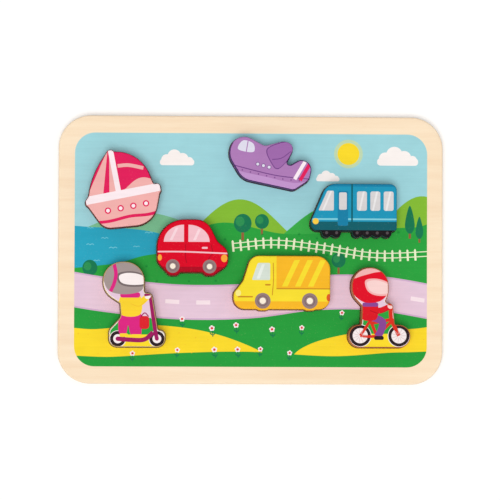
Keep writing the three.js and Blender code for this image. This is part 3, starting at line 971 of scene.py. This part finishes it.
# Rubbed edges: the paint of a rim worn through to the wood in small patches
wear_tree, wear_in, wear_out = node_group("rubbed edge", {"Rim": "Float"}, {"Wear": "Float"})
wear_place = add(wear_tree, "ShaderNodeTexCoord").outputs["Object"]
wear_patch = ranged(wear_tree, noise(wear_tree, wear_place, wear_stretch), *wear_patches)
wear_mask = calculated(wear_tree, "MULTIPLY", wear_patch, wear_in["Rim"])
feed(wear_tree, wear_out.inputs["Wear"], ranged(wear_tree, wear_mask, *wear_depth))


def brushed_side(name, pale, deep):
    """Birch brushed with the stain that its mesh carries: brush marks along the wall, grain under them"""
    material, tree = new_material(name)
    place = add(tree, "ShaderNodeTexCoord").outputs["Object"]
    stain = add(tree, "ShaderNodeAttribute", attribute_name="ink").outputs
    rim = add(tree, "ShaderNodeAttribute", attribute_name="rim").outputs["Fac"]
    strokes = noise(tree, place, stroke_stretch)
    toned = dimmed(tree, stain["Color"], ranged(tree, strokes, *stroke_tones))
    grain = placed(tree, grain_tree, turn=(0, 0, 0), pale=pale, deep=deep)
    film = placed(tree, film_tree, ink=toned, cover=stain["Alpha"], wood=grain["Color"])
    wear = placed(tree, wear_tree, rim=rim)
    colour = mixed(tree, wear["Wear"], film["Color"], grain["Color"])
    relief = calculated(tree, "ADD", grain["Height"], strokes)
    finish_material(tree, colour, film["Roughness"], stroke_relief, relief)
    return material


def upright(node, tilt=0.0):
    """A loose piece's outline as it is drawn, upright from the corner of its box, and its place"""
    outline = section(node, (piece_low + piece_high) / 2)[0]
    turned = outline @ np.array([(math.cos(tilt), -math.sin(tilt)), (math.sin(tilt), math.cos(tilt))])
    corner = turned.min(0)
    place = Matrix.Rotation(tilt, 4, "Z") @ Matrix.Translation((*(corner * MM), 0)) @ to_metres
    return turned - corner, place


def rim_strip(outline, width):
    """A narrow strip along the edge of a piece, in its side's colour over the rim; on some pieces darker, as
    painted shade
    """
    inner = outline - outward(outline) * width
    return np.concatenate([outline, outline[:1], inner[:1], inner[::-1]])


def clipped(outline, low, high):
    """The part of an outline between two heights"""
    return np.column_stack([outline[:, 0], np.clip(outline[:, 1], low, high)])


def loose_piece(name, outline, place, inks, side_ink):
    """A thick printed piece in its place on the board"""
    mesh = cut_sheet(name, [(outline, piece_top_radius, piece_foot_radius, 1)], piece_low, piece_high, inks,
                     side_ink=side_ink)
    return in_place(mesh, place, piece_print, piece_paint, piece_paint)


def printed_row(name, body, slot, points, place, shape, pitch, closed=False):
    """Marks in a row on the face of a loose piece"""
    base = line(f"{name} row", points, piece_high, place, closed)
    printed_again(name, body, slot, base, row_tree, shape, clearance=no_clearance, pitch=pitch * MM,
                  ink=piece_print)


piece_print = printed_wood("printed piece face", wood_pale, wood_deep, math.radians(90))
piece_paint = brushed_side("painted piece side", side_pale, side_deep)
boat_outline, boat_place = upright("boat_piece", boat_tilt)
boat_drawing = [
    (panel(-1, -1, 60, 62), raspberry),
    (np.array([(mast_left, 58), (2, 27), (14, 27)]), boat_pink),
    (np.array([(mast_left, 52), (18.5, 27), (mast_left, 27)]), boat_pink),
    (hill(26, 60, 26, 33.5), boat_pink),
    (band([(28, 45), (36, 44), (46, 40)], 2.6), boat_pink),
    (panel(-1, -1, 60, gunwale_low), boat_pink),
    (band([(-2, 8.5), (14, 6.8), (30, 7.6), (44, 6.4), (60, 8)], 2.2), raspberry),
    (panel(mast_left, gunwale_low, mast_right, 62), boat_white),
    (panel(-1, gunwale_low, 60, gunwale_high), boat_white),
    # sails' edge line: side paint over the rim, darkened as painted shade of the edge and its gap
    (clipped(rim_strip(boat_outline, boat_rim_width), gunwale_low, 62), boat_rim_paint_and_shade),
]
boat = loose_piece("boat_printed_piece", boat_outline, boat_place, boat_drawing, boat_side)
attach(boat, "boat")
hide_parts("boat_piece")
porthole = stamp("porthole", [(disc(0, 0, 2.3), raspberry), (disc(0, 0, 1.35), boat_white)])
printed_row("boat_portholes", "boat", "raspberry_paint", porthole_line, boat_place, porthole, porthole_pitch)

# Plane: the same thick birch, sawn to a small plane that climbs to the left, tilted in its recess.
# Its face is printed in lilac with a darker wing, and its sides are brushed with dark violet.
plane_tilt = math.radians(-12)
plane_lilac = ink(176, 125, 184)
plane_belly = ink(196, 150, 206)
plane_wing = ink(160, 106, 172)
plane_line = ink(118, 70, 136)
plane_glass = ink(226, 222, 238)
plane_white = ink(252, 236, 244)
plane_side = ink(78, 38, 108, 0.95)
# Dark violet line on the lower edges only: partly side paint over the rim, partly painted shade of the edge
# and its gap
plane_rim_paint_and_shade = ink(78, 38, 108)
plane_rim_width = 0.6
plane_rim_top = 24
rivet_line = through([(6, 6.9), (20, 6.2), (40, 6.2), (54, 7.6)], closed=False)
rivet_pitch = 5.8
plane_window_line = [(22, 13), (30.5, 12.6)]
plane_window_pitch = 4.2
plane_outline, plane_place = upright("plane_piece", plane_tilt)
plane_wing_middle = np.array([37, 23])
plane_wing_inner = 0.93
plane_wing_shape = through([(26, 25), (37, 33), (44, 34), (45, 28), (42, 19), (37, 12.5), (32, 15)])
plane_drawing = [
    (panel(-2, -2, 66, 36), plane_lilac),
    (through([(-4, 6), (10, 5.2), (30, 5.2), (50, 5.2), (66, 9), (66, -6), (-4, -6)]), plane_belly),
    (band([(-2, 9), (20, 8), (40, 8), (66, 11)], 0.7), plane_line),
    (band([(50.5, 8), (56.5, 26)], 2.6), plane_white),
    (band([(54.5, 8), (60.5, 26)], 2.6), raspberry),
    (through([(5.5, 21), (8, 27.5), (15.5, 27), (17.5, 21.5), (12, 20)]), plane_glass),
    (band([(11.6, 28), (12, 19.5)], 0.7), plane_lilac),
    (plane_wing_shape, plane_line),
    ((plane_wing_shape - plane_wing_middle) * plane_wing_inner + plane_wing_middle, plane_wing),
    (band([(31.5, 18.5), (38, 21), (43.5, 27)], 0.6), plane_line),
    # lower-edge line: side paint over the rim, with painted shade; the top edge is left without it
    (clipped(rim_strip(plane_outline, plane_rim_width), -2, plane_rim_top), plane_rim_paint_and_shade),
]
plane = loose_piece("plane_printed_piece", plane_outline, plane_place, plane_drawing, plane_side)
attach(plane, "plane")
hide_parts("plane_piece")
rivet = stamp("rivet", [(disc(0, 0, 0.5, steps=12), plane_line)])
printed_row("plane_rivets", "plane", "lilac_paint", rivet_line, plane_place, rivet, rivet_pitch)
plane_window = stamp("plane window", [(disc(0, 0, 1.5, steps=20), plane_line),
                                      (disc(0, 0, 1.1, steps=20), plane_glass)])
printed_row("plane_windows", "plane", "lilac_paint", plane_window_line, plane_place, plane_window,
            plane_window_pitch)

# Train: one thick piece of birch with an engine on two wheels and a carriage on four. Its face is
# printed in teal with grey windows and a dark skirt, and its sides are brushed with dark teal.
train_teal = ink(32, 150, 185)
train_roof = ink(26, 128, 166)
train_skirt = ink(20, 95, 105)
train_glass = ink(217, 213, 213)
train_glint = ink(236, 233, 233)
train_stripe = ink(132, 208, 222)
train_black = ink(28, 22, 26)
train_axle = ink(84, 74, 78)
train_lamp = ink(250, 206, 70)
train_side = ink(10, 60, 78, 0.96)
train_seam = 29.8
train_floor = 5.2
train_axle_height = 3.3
train_axle_pitch = 7.29
train_window_line = [(37, 26.4), (56.4, 26.4)]
train_window_pitch = 9.6
train_outline, train_place = upright("train_piece")
train_drawing = [
    (panel(-2, -2, 66, 42), train_teal),
    (band([(-2, 38.6), (66, 38.6)], 3.4), train_roof),
    (panel(-2, -2, 66, 11.4), train_skirt),
    (panel(-2, 12.6, 66, 13.8), train_stripe),
    (panel(-2, -2, 66, train_floor), train_black),
    (pane([(5.4, 19.4), (16.6, 19.4), (16.6, 33.8), (11.9, 33.8)], 1.0), train_glass),
    (np.array([(8, 19.4), (14, 33.6), (15.4, 33.6), (9.4, 19.4)]), train_glint),
    (panel(19.4, 8.4, 27, 33.8, 1.2), train_roof),
    (panel(20.4, 20, 26, 32.6, 1), train_glass),
    (panel(train_seam - 0.6, train_floor, train_seam + 0.6, 42), train_skirt),
    (disc(3.4, 11.6, 2.2), train_lamp),
]
train = loose_piece("train_printed_piece", train_outline, train_place, train_drawing, train_side)
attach(train, "train")
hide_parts("train_piece")
train_window = stamp("train window", [(panel(-3.6, -7, 3.6, 7, 1.4), train_glass),
                                      (np.array([(-2.4, -7), (0.6, 7), (2, 7), (-1, -7)]), train_glint)])
printed_row("train_windows", "train", "teal_paint", train_window_line, train_place, train_window,
            train_window_pitch)
for row, first, last in (("engine", 11.35, 18.65), ("carriage", 33.55, 55.45)):
    hub = stamp(f"{row} hub", [(disc(0, 0, 1.1, steps=20), train_axle)])
    axles = [(first, train_axle_height), (last, train_axle_height)]
    printed_row(f"train_{row}_hubs", "train", "teal_paint", axles, train_place, hub, train_axle_pitch)

# Car: thick birch sawn to a small round car that drives to the right. Its face is printed in red
# with pink windows and grey wheels, and its sides are brushed with dark red.
car_red = ink(222, 5, 38)
car_dark = ink(176, 8, 34)
car_glass = ink(246, 194, 203)
car_glint = ink(252, 218, 224)
wheel_grey = ink(150, 125, 125)
wheel_dark = ink(116, 94, 96)
hub_cream = ink(253, 240, 220)
lamp_amber = ink(250, 170, 60)
car_side = ink(136, 6, 18, 0.94)
# Line all round the edge, darker than the side paint: partly that paint over the rim, partly painted shade of
# the edge
car_rim_paint_and_shade = ink(112, 4, 16)
car_rim_width = 0.42
car_wheel = 4.95
car_outline, car_place = upright("car_piece")


def quarter_pane(x, y, length, height, steps=14):
    """A car window: flat foot, upright side and a round shoulder"""
    turns = np.linspace(0, math.pi / 2, steps)
    return np.concatenate([[(x, y)], arc(x, y, length, height, turns)])


def road_wheel(x, y, radius):
    """A printed wheel with a tyre line and a plain hub"""
    rings = ((1, wheel_grey), (0.66, wheel_dark), (0.58, wheel_grey), (0.4, hub_cream))
    return [(disc(x, y, share * radius), colour) for share, colour in rings]


car_drawing = [
    (panel(-2, -2, 56, 44), car_red),
    (panel(-2, -2, 56, 6.4), car_dark),
    (quarter_pane(19.4, 24.4, -14.6, 12.4), car_glass),
    (quarter_pane(22.6, 24.4, 15.4, 12.4), car_glass),
    (np.array([(9, 25.6), (13.4, 34.6), (15.4, 34.6), (11, 25.6)]), car_glint),
    (np.array([(26, 25.6), (29.6, 33.6), (31.6, 33.6), (28, 25.6)]), car_glint),
    (band([(20.6, 22.6), (20.6, 14), (21.4, 9)], 0.6), car_dark),
    (band([(39, 22.4), (40, 17), (37, 11.6)], 0.6), car_dark),
    (panel(32.4, 19.4, 36.6, 20.8, 0.6), car_glass),
    (band([(-2, 17.2), (20, 17.2), (54, 16)], 1.1), car_glass),
    (disc(48.6, 12.6, 2.3, 1.2), lamp_amber),
    (disc(2.0, 13, 1.5, 1.5), lamp_amber),
    *road_wheel(11.4, 6.8, car_wheel),
    *road_wheel(38.0, 6.6, car_wheel),
    # edge line: side paint over the rim, darkened as painted shade of the edge and its gap
    (rim_strip(car_outline, car_rim_width), car_rim_paint_and_shade),
]
car = loose_piece("car_printed_piece", car_outline, car_place, car_drawing, car_side)
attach(car, "car")
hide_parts("car_piece")

# Van: thick birch sawn to a box van that drives to the left. Its face is printed in yellow with an
# amber load panel and plain stripes, and its sides are brushed with dark amber.
van_yellow = ink(250, 224, 50)
van_amber = ink(250, 186, 40)
van_light = ink(252, 238, 140)
van_glass = ink(216, 226, 214)
van_glint = ink(234, 240, 232)
van_line = ink(206, 140, 36)
van_lamp = ink(226, 92, 40)
van_side = ink(212, 130, 20, 0.86)
van_wheel = 5.7
van_outline, van_place = upright("van_piece")
van_stripes = [np.array([(x, 17.4), (x + 9, 36.6), (x + 13, 36.6), (x + 4, 17.4)]) for x in (35, 44.4, 53.8)]
van_drawing = [
    (panel(-2, -2, 74, 42), van_yellow),
    (panel(-2, -2, 74, 6.6), van_amber),
    (panel(31, 15.8, 74, 42), van_amber),
    *[(stripe, van_yellow) for stripe in van_stripes],
    (panel(31, 15.4, 74, 16.2), van_line),
    (pane([(13.2, 22), (26.4, 22), (26.4, 34.4), (17.4, 34.4)], 1.2), van_glass),
    (np.array([(16.6, 23), (20.4, 33.4), (22.6, 33.4), (18.8, 23)]), van_glint),
    (band([(28.6, 34.5), (28.8, 22), (28, 11)], 0.6), van_line),
    (panel(22.8, 18, 26.8, 19.2, 0.5), van_line),
    (panel(3, 9.4, 14, 10.4, 0.4), van_line),
    (disc(3.4, 12.6, 2.0, 1.15), van_light),
    (disc(69, 9.4, 1.7, 1.6), van_lamp),
    *road_wheel(21.1, 7.0, van_wheel),
    *road_wheel(55.2, 7.0, van_wheel),
]
van = loose_piece("van_printed_piece", van_outline, van_place, van_drawing, van_side)
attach(van, "van")
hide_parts("van_piece")

# Scooter rider: thick birch sawn to a rider in a closed helmet on a kick scooter. The gaps of the
# figure are printed with the landscape's colours, and the sides are stained light brown.
tyre_black = ink(45, 30, 35)
rim_white = ink(250, 238, 238)
scooter_plum = ink(160, 28, 95)
rider_magenta = ink(222, 40, 130)
rider_yellow = ink(253, 214, 50)
helmet_grey = ink(166, 150, 147)
helmet_dark = ink(120, 106, 106)
visor_white = ink(252, 240, 238)
glove_white = ink(252, 240, 236)
bag_red = ink(222, 36, 46)
scooter_side = ink(188, 160, 126, 0.5)
scooter_sawn = ink(204, 174, 116)
figure_margin = 0.45
sawn_rim = 0.6
scooter_rear = (11.0, 5.9)
scooter_front = (39.2, 6.0)
scooter_outline, scooter_place = upright("scooter_piece")


def backdrop(outline, bands):
    """The landscape behind a figure: bands of (top, colour, pale margin round it), from the lowest up"""
    shapes = [(panel(-2, -2, 60, 70), rim_white)]
    low = -2
    for top, colour, margin in bands:
        edge = outline - outward(outline) * (sawn_rim + margin)
        shapes.append((clipped(edge, low, top), colour))
        low = top
    return shapes


def cycle_wheel(x, y, radius, rim):
    """A tyre on a pale wheel disc, with a pale line round it"""
    rings = ((radius + figure_margin, rim_white), (radius, tyre_black), (rim, rim_white))
    return [(disc(x, y, size), colour) for size, colour in rings]


scooter_drawing = [
    *backdrop(scooter_outline, [(9, field_yellow, 0), (21, meadow_green, figure_margin),
                                (70, road_lilac, figure_margin)]),
    *cycle_wheel(*scooter_rear, 5.6, 3.3),
    *cycle_wheel(*scooter_front, 5.5, 3.2),
    (through([(13.5, 24), (11.2, 15), (12.6, 9), (17, 9.4), (18.4, 15.6), (20.6, 8.6), (27.4, 8.2), (28, 16),
              (27, 24.4)], steps=6), rider_magenta),
    (panel(12.2, 7.2, 18.4, 9.8, 1.1), rider_yellow),
    (panel(20.4, 6.8, 28.4, 9.2, 1.1), rider_yellow),
    (band([scooter_rear, (20, 5.2), (30, 5.4), (36.4, 10.6)], 3.2), scooter_plum),
    (band([scooter_front, (37.4, 15), (34.4, 37)], 2.8), scooter_plum),
    (panel(26.6, 13, 33.6, 22.4, 2.4), bag_red),
    (band([(27.6, 22), (30.4, 24.6), (33.2, 22)], 0.8), scooter_plum),
    (through([(13.2, 23.4), (13.2, 37), (26.4, 38), (27.2, 23.6)], steps=6), rider_yellow),
    (band([(20, 33.4), (26.4, 31.6), (32, 36.2)], 4.4), rider_yellow),
    (band([(20.2, 31.2), (26.2, 29.4), (31, 33.2)], 0.5), field_amber),
    (disc(32.4, 36.8, 2.2), glove_white),
    (band([(30, 37.4), (36.4, 38.4)], 1.8), scooter_plum),
    (panel(12.6, 35.6, 27, 39.4, 1.6), rider_magenta),
    (disc(*scooter_rear, 1.6), scooter_plum),
    (disc(*scooter_front, 1.4), scooter_plum),
    (through([(0.2, 50), (2.8, 57), (9, 61), (15, 61.6), (22, 60.6), (27.8, 56), (29.8, 49), (28.4, 41.4),
              (22, 38.6), (12, 38.2), (4, 41)]), helmet_grey),
    (through([(10.6, 52.6), (17, 54.6), (25, 54), (30.4, 51), (30.4, 44.8), (24, 43.4), (15.6, 44),
              (11, 47)]), helmet_dark),
    (through([(12, 51.6), (17.4, 53.4), (25, 52.8), (31, 50), (31, 46), (24, 44.8), (16, 45.4),
              (12.4, 47.6)]), visor_white),
    (band([(8, 60), (9.4, 53), (8.2, 46), (5.6, 40)], 2.6), rider_magenta),
    (rim_strip(scooter_outline, sawn_rim), scooter_sawn),
]
scooter = loose_piece("scooter_printed_piece", scooter_outline, scooter_place, scooter_drawing, scooter_side)
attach(scooter, "scooter")
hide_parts("scooter_piece")

# Cyclist: thick birch sawn to a rider in a closed helmet on a bicycle, printed in reds and purple
# over the landscape's colours. The spokes are fine lines, and the sides are stained red brown.
bike_red = ink(222, 50, 35)
jacket_red = ink(222, 24, 38)
trouser_purple = ink(140, 72, 150)
helmet_red = ink(226, 16, 40)
helmet_pink = ink(245, 182, 180)
visor_pink = ink(250, 212, 208)
spoke_grey = ink(214, 192, 190)
bicycle_side = ink(198, 98, 60, 0.66)
bicycle_sawn = ink(190, 104, 58)
bicycle_rear = (8.3, 8.6)
bicycle_front = (36.4, 8.6)
bicycle_crank = (20.4, 8.2)
bicycle_tyre = 7.7
bicycle_rim = 5.5
spoke_count = 10
spoke_length = 4.0
spoke_width = 0.32
spoke_ring = bicycle_rim - 2.2
bicycle_outline, bicycle_place = upright("bicycle_piece")
bicycle_drawing = [
    *backdrop(bicycle_outline, [(10, field_yellow, 0), (27, meadow_green, figure_margin),
                                (70, road_lilac, figure_margin)]),
    *cycle_wheel(*bicycle_rear, bicycle_tyre, bicycle_rim),
    *cycle_wheel(*bicycle_front, bicycle_tyre, bicycle_rim),
    (band([bicycle_rear, (14.4, 8.0), bicycle_crank], 2.0), bike_red),
    (band([bicycle_rear, (12, 14), (15.6, 19.6)], 2.0), bike_red),
    (band([bicycle_crank, (18, 14), (15.2, 21)], 2.2), bike_red),
    (band([bicycle_crank, (26, 14), (31.4, 19.4)], 2.2), bike_red),
    (band([(16.6, 17.6), (24, 19), (31.4, 20.6)], 2.2), bike_red),
    (band([bicycle_front, (33, 15.6), (30.6, 22), (30.4, 30.6)], 2.8), bike_red),
    (panel(11.4, 19.8, 18, 22.2, 1.0), tyre_black),
    (band([(13.4, 22.2), (19.4, 21.2), (24.4, 18.4), (23.2, 12), (21, 8)], 5.2), trouser_purple),
    (panel(18.4, 5.6, 25.4, 8.4, 1.2), tyre_black),
    (through([(9.6, 20.6), (10, 31), (20.4, 32.4), (20, 20.6)], steps=6), jacket_red),
    (band([(15, 29), (22, 26.8), (29.6, 29.6)], 4.2), jacket_red),
    (band([(15.4, 26.8), (22, 24.8), (28.6, 27.2)], 0.5), car_dark),
    (disc(30.2, 30.2, 2.1), visor_pink),
    (band([(28.6, 31.6), (32.4, 31)], 1.6), bike_red),
    (panel(9.8, 29.6, 21.4, 32.6, 1.4), trouser_purple),
    (through([(2.2, 47), (4, 53.6), (9.6, 57.6), (15.6, 58.4), (22, 57), (27, 52.6), (28.8, 45), (28, 38.6),
              (22, 33.4), (12, 32.6), (5, 36.8), (2.6, 41)]), helmet_red),
    (through([(3, 50), (6, 55.6), (12, 58.4), (19, 58.2), (24, 55.4), (18, 54.2), (10, 52)]), helmet_pink),
    (through([(12, 48.6), (18.6, 50), (25.4, 48.6), (29.6, 45.6), (29.4, 39), (24, 37.4), (17, 38.6),
              (12.8, 42.4)]), helmet_pink),
    (through([(13.4, 47.4), (18.8, 48.8), (25.2, 47.4), (30, 44.6), (30, 40.2), (24, 38.8), (17.6, 39.8),
              (14, 43)]), visor_pink),
    (rim_strip(bicycle_outline, sawn_rim), bicycle_sawn),
]
bicycle = loose_piece("bicycle_printed_piece", bicycle_outline, bicycle_place, bicycle_drawing, bicycle_side)
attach(bicycle, "bicycle")
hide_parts("bicycle_piece")
spoke_pitch = 2 * math.pi * spoke_ring / (spoke_count + 0.5)
for end, hub in (("rear", bicycle_rear), ("front", bicycle_front)):
    spoke_shape = panel(-spoke_width / 2, -spoke_length / 2, spoke_width / 2, spoke_length / 2)
    spoke = stamp("spoke", [(spoke_shape, spoke_grey)])
    printed_row(f"bicycle_{end}_spokes", "bicycle", "orange_red_paint", disc(*hub, spoke_ring), bicycle_place,
                spoke, spoke_pitch, closed=True)
